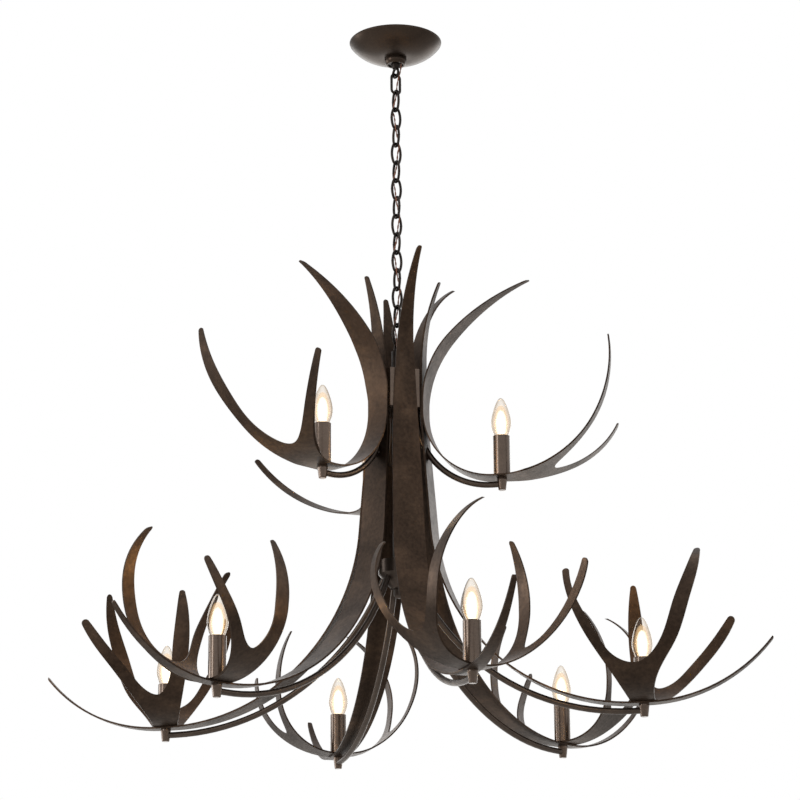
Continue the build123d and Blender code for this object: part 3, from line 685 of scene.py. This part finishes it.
amber = (1.0, 0.74, 0.44, 1)
deep_amber = (1.0, 0.66, 0.34, 1)
hot_white = (1.0, 0.975, 0.93, 1)
pale_amber = (1.0, 0.88, 0.68, 1)
# The halo and its core are painted glow of the lit bulb, drawn as films.
painted_halo_glow = painted_glow_film("painted_halo_glow", amber, deep_amber, strength=1.0, most=0.36, scale=140.0)
painted_core_glow = painted_glow_film("painted_core_glow", hot_white, pale_amber, strength=2.1, most=0.66, scale=200.0)
print("light:", painted_halo_glow.name, painted_core_glow.name)

# %% Make the glass
bulb_glass, tree, shader = new_material("bulb_glass")
place = node(tree, "ShaderNodeTexCoord").outputs["Object"]
ripple = node(tree, "ShaderNodeTexNoise", {"Vector": place}, Scale=60.0, Detail=1.0).outputs["Fac"]
facing = node(tree, "ShaderNodeLayerWeight", Blend=0.5).outputs["Facing"]
depth = node(tree, "ShaderNodeMath", {0: ripple, 1: facing, 2: facing}, operation="MULTIPLY_ADD")
deep = node(tree, "ShaderNodeMapRange", {"Value": depth.outputs["Value"]}, From_Min=0.1, From_Max=1.2)
clear = (0.98, 0.955, 0.92, 1)
smoky = (0.62, 0.52, 0.41, 1)
tint = node(tree, "ShaderNodeMix", {"Factor": deep.outputs["Result"]}, data_type="RGBA", A=clear, B=smoky)
gloss = node(tree, "ShaderNodeMapRange", {"Value": ripple}, To_Min=0.0, To_Max=0.03)
tree.links.new(tint.outputs["Result"], shader.inputs["Base Color"])
tree.links.new(gloss.outputs["Result"], shader.inputs["Roughness"])
shader.inputs["Transmission Weight"].default_value = 1.0
shader.inputs["IOR"].default_value = 1.25
shader.inputs["Metallic"].default_value = 0.0
print("glass:", bulb_glass.name)

# %% [markdown]
# ## Shape of the bulbs
# The glass is blown thin, so it has an outer and an inner wall, turned as one closed profile. Inside stand
# a glass stem and four filaments that lean apart. The screw base is a rolled shell with a thread, an
# insulator and a contact. One bulb is made at the origin, with its profiles in millimetres, and set down
# nine times, because each turns in its own socket.


# %% Blow the glass
def smooth_through(points, count):
    """Gives a smooth line through points, by a cubic on each stretch."""
    points = np.asarray(points, float)
    knots = np.concatenate([[0], np.cumsum(np.linalg.norm(np.diff(points, axis=0), axis=1))])
    slopes = np.gradient(points, knots, axis=0)
    line = []
    for spot in np.linspace(0, knots[-1], count):
        k = min(int(np.searchsorted(knots, spot, side="right")) - 1, len(points) - 2)
        width = knots[k + 1] - knots[k]
        t = (spot - knots[k]) / width
        near = (2 * t**3 - 3 * t**2 + 1) * points[k] + (t**3 - 2 * t**2 + t) * width * slopes[k]
        far = (-2 * t**3 + 3 * t**2) * points[k + 1] + (t**3 - t**2) * width * slopes[k + 1]
        line.append(near + far)
    return np.array(line)


mm = 0.001
flame = [(5.6, -9), (8.3, -4.4), (10.6, 0), (13.7, 8), (15.8, 15), (16.8, 22.5), (16.4, 28.5), (15.2, 35.3)]
flame += [(13.5, 42), (11.4, 49), (8.7, 56), (5.7, 62), (3.6, 64.8), (1.8, 66.1), (0.05, 66.5)]
glass_wall = 0.5 * mm
inner_top = 65.9 * mm
glass_rings = 64
glass_sides = 48
outer = smooth_through(np.array(flame) * mm, glass_rings)
inner = outer.copy()
inner[:, 0] = np.maximum(outer[:, 0] - glass_wall, 0)
inner[:, 1] = np.minimum(outer[:, 1], inner_top)
glass = Shape()
glass.add(*turned(np.concatenate([inner[::-1], outer]), glass_sides), bulb_glass)
print("bulb glass:", len(glass.faces), "faces")

# %% Roll the screw base
thread_pitch = 2.0 * mm
thread_depth = 0.42 * mm
thread_top = -10.5 * mm
thread_bottom = -25.0 * mm
shell_radius = 5.85
shell_bottom = -26.6
base_sides = 40
stem_sides = 24


def thread(height, angle):
    """Gives how far the rolled thread dips at a place on the shell."""
    if height > thread_top or height < thread_bottom:
        return 0.0
    return -thread_depth * (0.5 - 0.5 * math.cos(2 * math.pi * height / thread_pitch - angle))


shell_rings = [(shell_radius, -26 + 0.25 * k) for k in range(69)]
shell = [(shell_radius, shell_bottom)] + shell_rings + [(5.6, -8.9)]
insulator = [(3.2, -28.2), (4.4, -27.8), (5.6, -26.8), (shell_radius, shell_bottom)]
contact = [(0.05, -29.0), (1.8, -28.9), (2.8, -28.5), (3.2, -28.2)]
stem = [(5.0, -9), (4.6, -8.8), (2.6, -6), (1.7, -1), (1.2, 2.2), (0.05, 2.6)]
base = Shape()
base.add(*turned(np.array(shell) * mm, base_sides, thread), plated_steel)
base.add(*turned(np.array(insulator) * mm, base_sides), socket_shell)
base.add(*turned(np.array(contact) * mm, base_sides), plated_steel)
base.add(*turned(np.array(stem) * mm, stem_sides), bulb_glass)
print("bulb base:", len(base.faces), "faces")

# %% Set the filaments on the stem
filament_count = 4
filament_turn = 20
filament_radius = 0.95 * mm
filament_rings = 12
filament_sides = 10
lead_radius = 0.25 * mm
lead_rings = 8
lead_sides = 6
upright = np.array((0, 0, 1.0))
for number in range(filament_count):
    angle = math.radians(360 / filament_count * number + filament_turn)
    way = np.array((math.cos(angle), math.sin(angle), 0))
    foot = (2.2 * way + 4.5 * upright) * mm
    top = (5.2 * way + 33 * upright) * mm
    rod = foot + np.linspace(0, 1, filament_rings)[:, None] * (top - foot)
    base.add(*swept(rod, filament_radius, filament_sides), filament_glow)
    lead = [(way + upright) * mm, (1.6 * way + 3.0 * upright) * mm, foot]
    base.add(*swept(smooth_through(lead, lead_rings), lead_radius, lead_sides), plated_steel)
print("filaments:", filament_count, "on a base of", len(base.faces), "faces")

# %% Shape the painted glow halo and its core
halo_rings = 36
halo_sides = 40
core_rings = 30
core_sides = 32
halo_line = [(3.4, -4), (6.6, 0), (11.0, 8), (13.6, 16), (14.2, 24), (13.0, 34), (10.2, 44)]
halo_line += [(5.6, 52), (0.05, 55)]
core_line = [(3.0, -2), (6.2, 3), (8.6, 10), (9.6, 18), (9.4, 28), (8.0, 36), (4.8, 43), (0.05, 46.5)]
# Painted glow: a halo and a core of light round the filaments.
painted_halo = Shape()
painted_halo.add(*turned(smooth_through(np.array(halo_line) * mm, halo_rings), halo_sides), painted_halo_glow)
painted_halo.add(*turned(smooth_through(np.array(core_line) * mm, core_rings), core_sides), painted_core_glow)
print("sleeve:", len(painted_halo.faces), "faces")

# %% Set the bulbs in their sockets
lower_ring = 0.4
upper_ring = 0.176
lower_top = -1.1119
upper_top = -0.72695
glow_height = 0.022
glow_power = 0.45
glow_colour = (1.0, 0.66, 0.32)
glow_size = 0.016
# Each bulb is its glass, its base and its halo of painted glow.
bulb_pieces = [
    (glass, "glass", "bulb_glass"),
    (base, "base", "plated_steel"),
    (painted_halo, "painted_halo", "bulb_glass"),
]
lamps = [(lower_ring, 60 * k, lower_top) for k in range(6)]
lamps += [(upper_ring, 120 * k, upper_top) for k in range(3)]
lamp_spots = []
for number, (reach, degrees, height) in enumerate(lamps, start=1):
    angle = math.radians(degrees)
    spot = (reach * math.cos(angle), reach * math.sin(angle), height)
    lamp_spots.append(spot)
    body = f"bulb_{number}"
    for shape, label, finish in bulb_pieces:
        piece = shape.build(f"{body}_{label}", spot)
        piece.visible_shadow = False
        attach(piece, body)
        if label == "glass":
            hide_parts(body)
    glow = bpy.data.lights.new(f"{body}_light", "POINT")
    glow.energy = glow_power
    glow.color = glow_colour
    glow.shadow_soft_size = glow_size
    lamp = bpy.data.objects.new(f"{body}_light", glow)
    lamp.location = (spot[0], spot[1], spot[2] + glow_height)
    lamp.visible_camera = False
    lamp.visible_transmission = False
    scene.collection.objects.link(lamp)
print("bulbs:", len(lamps))

# %% [markdown]
# ## Rolled rims, hem and weld beads
# The top edge of each candle cover and the canopy's edge at the ceiling are rolled over a wire, so no raw
# edge shows. Each chain link is bent from wire and butt-welded on one side, which leaves a low bead round
# the wire. All of these are rings of round section, so one Geometry Nodes tree makes them: it sets a ring
# on each point that it is given.

# %% Build the ring tree
ring_tree = bpy.data.node_groups.new("rings_on_points", "GeometryNodeTree")
ring_inputs = {}
for label, kind in (
    ("Points", "NodeSocketGeometry"),
    ("Ring Radius", "NodeSocketFloat"),
    ("Section Radius", "NodeSocketFloat"),
    ("Ring Sides", "NodeSocketInt"),
    ("Section Sides", "NodeSocketInt"),
    ("Finish", "NodeSocketMaterial"),
):
    socket = ring_tree.interface.new_socket(label, in_out="INPUT", socket_type=kind)
    ring_inputs[label] = socket.identifier
ring_tree.interface.new_socket("Rings", in_out="OUTPUT", socket_type="NodeSocketGeometry")
given = ring_tree.nodes.new("NodeGroupInput").outputs
end = ring_tree.nodes.new("NodeGroupOutput")
circle = "GeometryNodeCurvePrimitiveCircle"
hoop = node(ring_tree, circle, {"Resolution": given["Ring Sides"], "Radius": given["Ring Radius"]})
wire = node(ring_tree, circle, {"Resolution": given["Section Sides"], "Radius": given["Section Radius"]})
curves = {"Curve": hoop.outputs["Curve"], "Profile Curve": wire.outputs["Curve"]}
rolled = node(ring_tree, "GeometryNodeCurveToMesh", curves)
copies = {"Points": given["Points"], "Instance": rolled.outputs["Mesh"]}
placed = node(ring_tree, "GeometryNodeInstanceOnPoints", copies)
real = node(ring_tree, "GeometryNodeRealizeInstances", {"Geometry": placed.outputs["Instances"]})
soft = node(ring_tree, "GeometryNodeSetShadeSmooth", {"Geometry": real.outputs["Geometry"]})
coated = {"Geometry": soft.outputs["Geometry"], "Material": given["Finish"]}
done = node(ring_tree, "GeometryNodeSetMaterial", coated)
ring_tree.links.new(done.outputs["Geometry"], end.inputs["Rings"])
print("tree:", ring_tree.name, "inputs", list(ring_inputs))

# %% Roll the rims and the hem
section_sides = 10


def face_outwards(mesh):
    """Turns a closed mesh right side out, if the volume inside its triangles comes out below zero."""
    mesh.calc_loop_triangles()
    volume = 0
    for triangle in mesh.loop_triangles:
        a, b, c = (mesh.vertices[corner].co for corner in triangle.vertices)
        volume += a.dot(b.cross(c))
    if volume < 0:
        mesh.flip_normals()


def roll_rings(name, spots, radius, section, sides, finish, body, slot):
    """Sets a rolled ring on each spot, as one plain mesh that rides on a body."""
    dots = bpy.data.meshes.new(name + "_dots")
    dots.from_pydata(spots, [], [])
    holder = bpy.data.objects.new(name + "_dots", dots)
    scene.collection.objects.link(holder)
    modifier = holder.modifiers.new("rings", "NODES")
    modifier.node_group = ring_tree
    modifier[ring_inputs["Ring Radius"]] = radius
    modifier[ring_inputs["Section Radius"]] = section
    modifier[ring_inputs["Ring Sides"]] = sides
    modifier[ring_inputs["Section Sides"]] = section_sides
    modifier[ring_inputs["Finish"]] = finish
    bpy.context.view_layer.update()
    ready = holder.evaluated_get(bpy.context.evaluated_depsgraph_get())
    mesh = bpy.data.meshes.new_from_object(ready)
    mesh.name = name
    bpy.data.objects.remove(holder)
    face_outwards(mesh)
    piece = bpy.data.objects.new(name, mesh)
    scene.collection.objects.link(piece)
    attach(piece, body)
    return len(mesh.polygons)


rim = {"radius": 0.01355, "section": 0.0006, "sides": 56, "finish": cover_bronze}
hem = {"radius": 0.0789, "section": 0.0009, "sides": 128, "finish": canopy_bronze}
hem_spot = (0, 0, -hem["section"])
made = roll_rings("cover_rims", lamp_spots, body="fixture", slot="tube_bronze", **rim)
made += roll_rings("canopy_hem", [hem_spot], body="canopy", slot="canopy_bronze", **hem)
print("rims and hem:", made, "faces")

# %% Weld the links
link_wire = 0.0045
connector_width = 0.0216
link_width = 0.022
bead = {"radius": 0.00222, "section": 0.00042, "sides": 24, "finish": chain_bronze}
made = 0
for number, height in enumerate(link_middles, start=1):
    width = connector_width if number == 1 else link_width
    spot = round_chain(90 * number, (width - link_wire) / 2, height)
    body = f"link_{number:02d}"
    made += roll_rings(f"weld_{number:02d}", [spot], body=body, slot="chain_bronze", **bead)
print("weld beads:", link_count, "with", made, "faces")
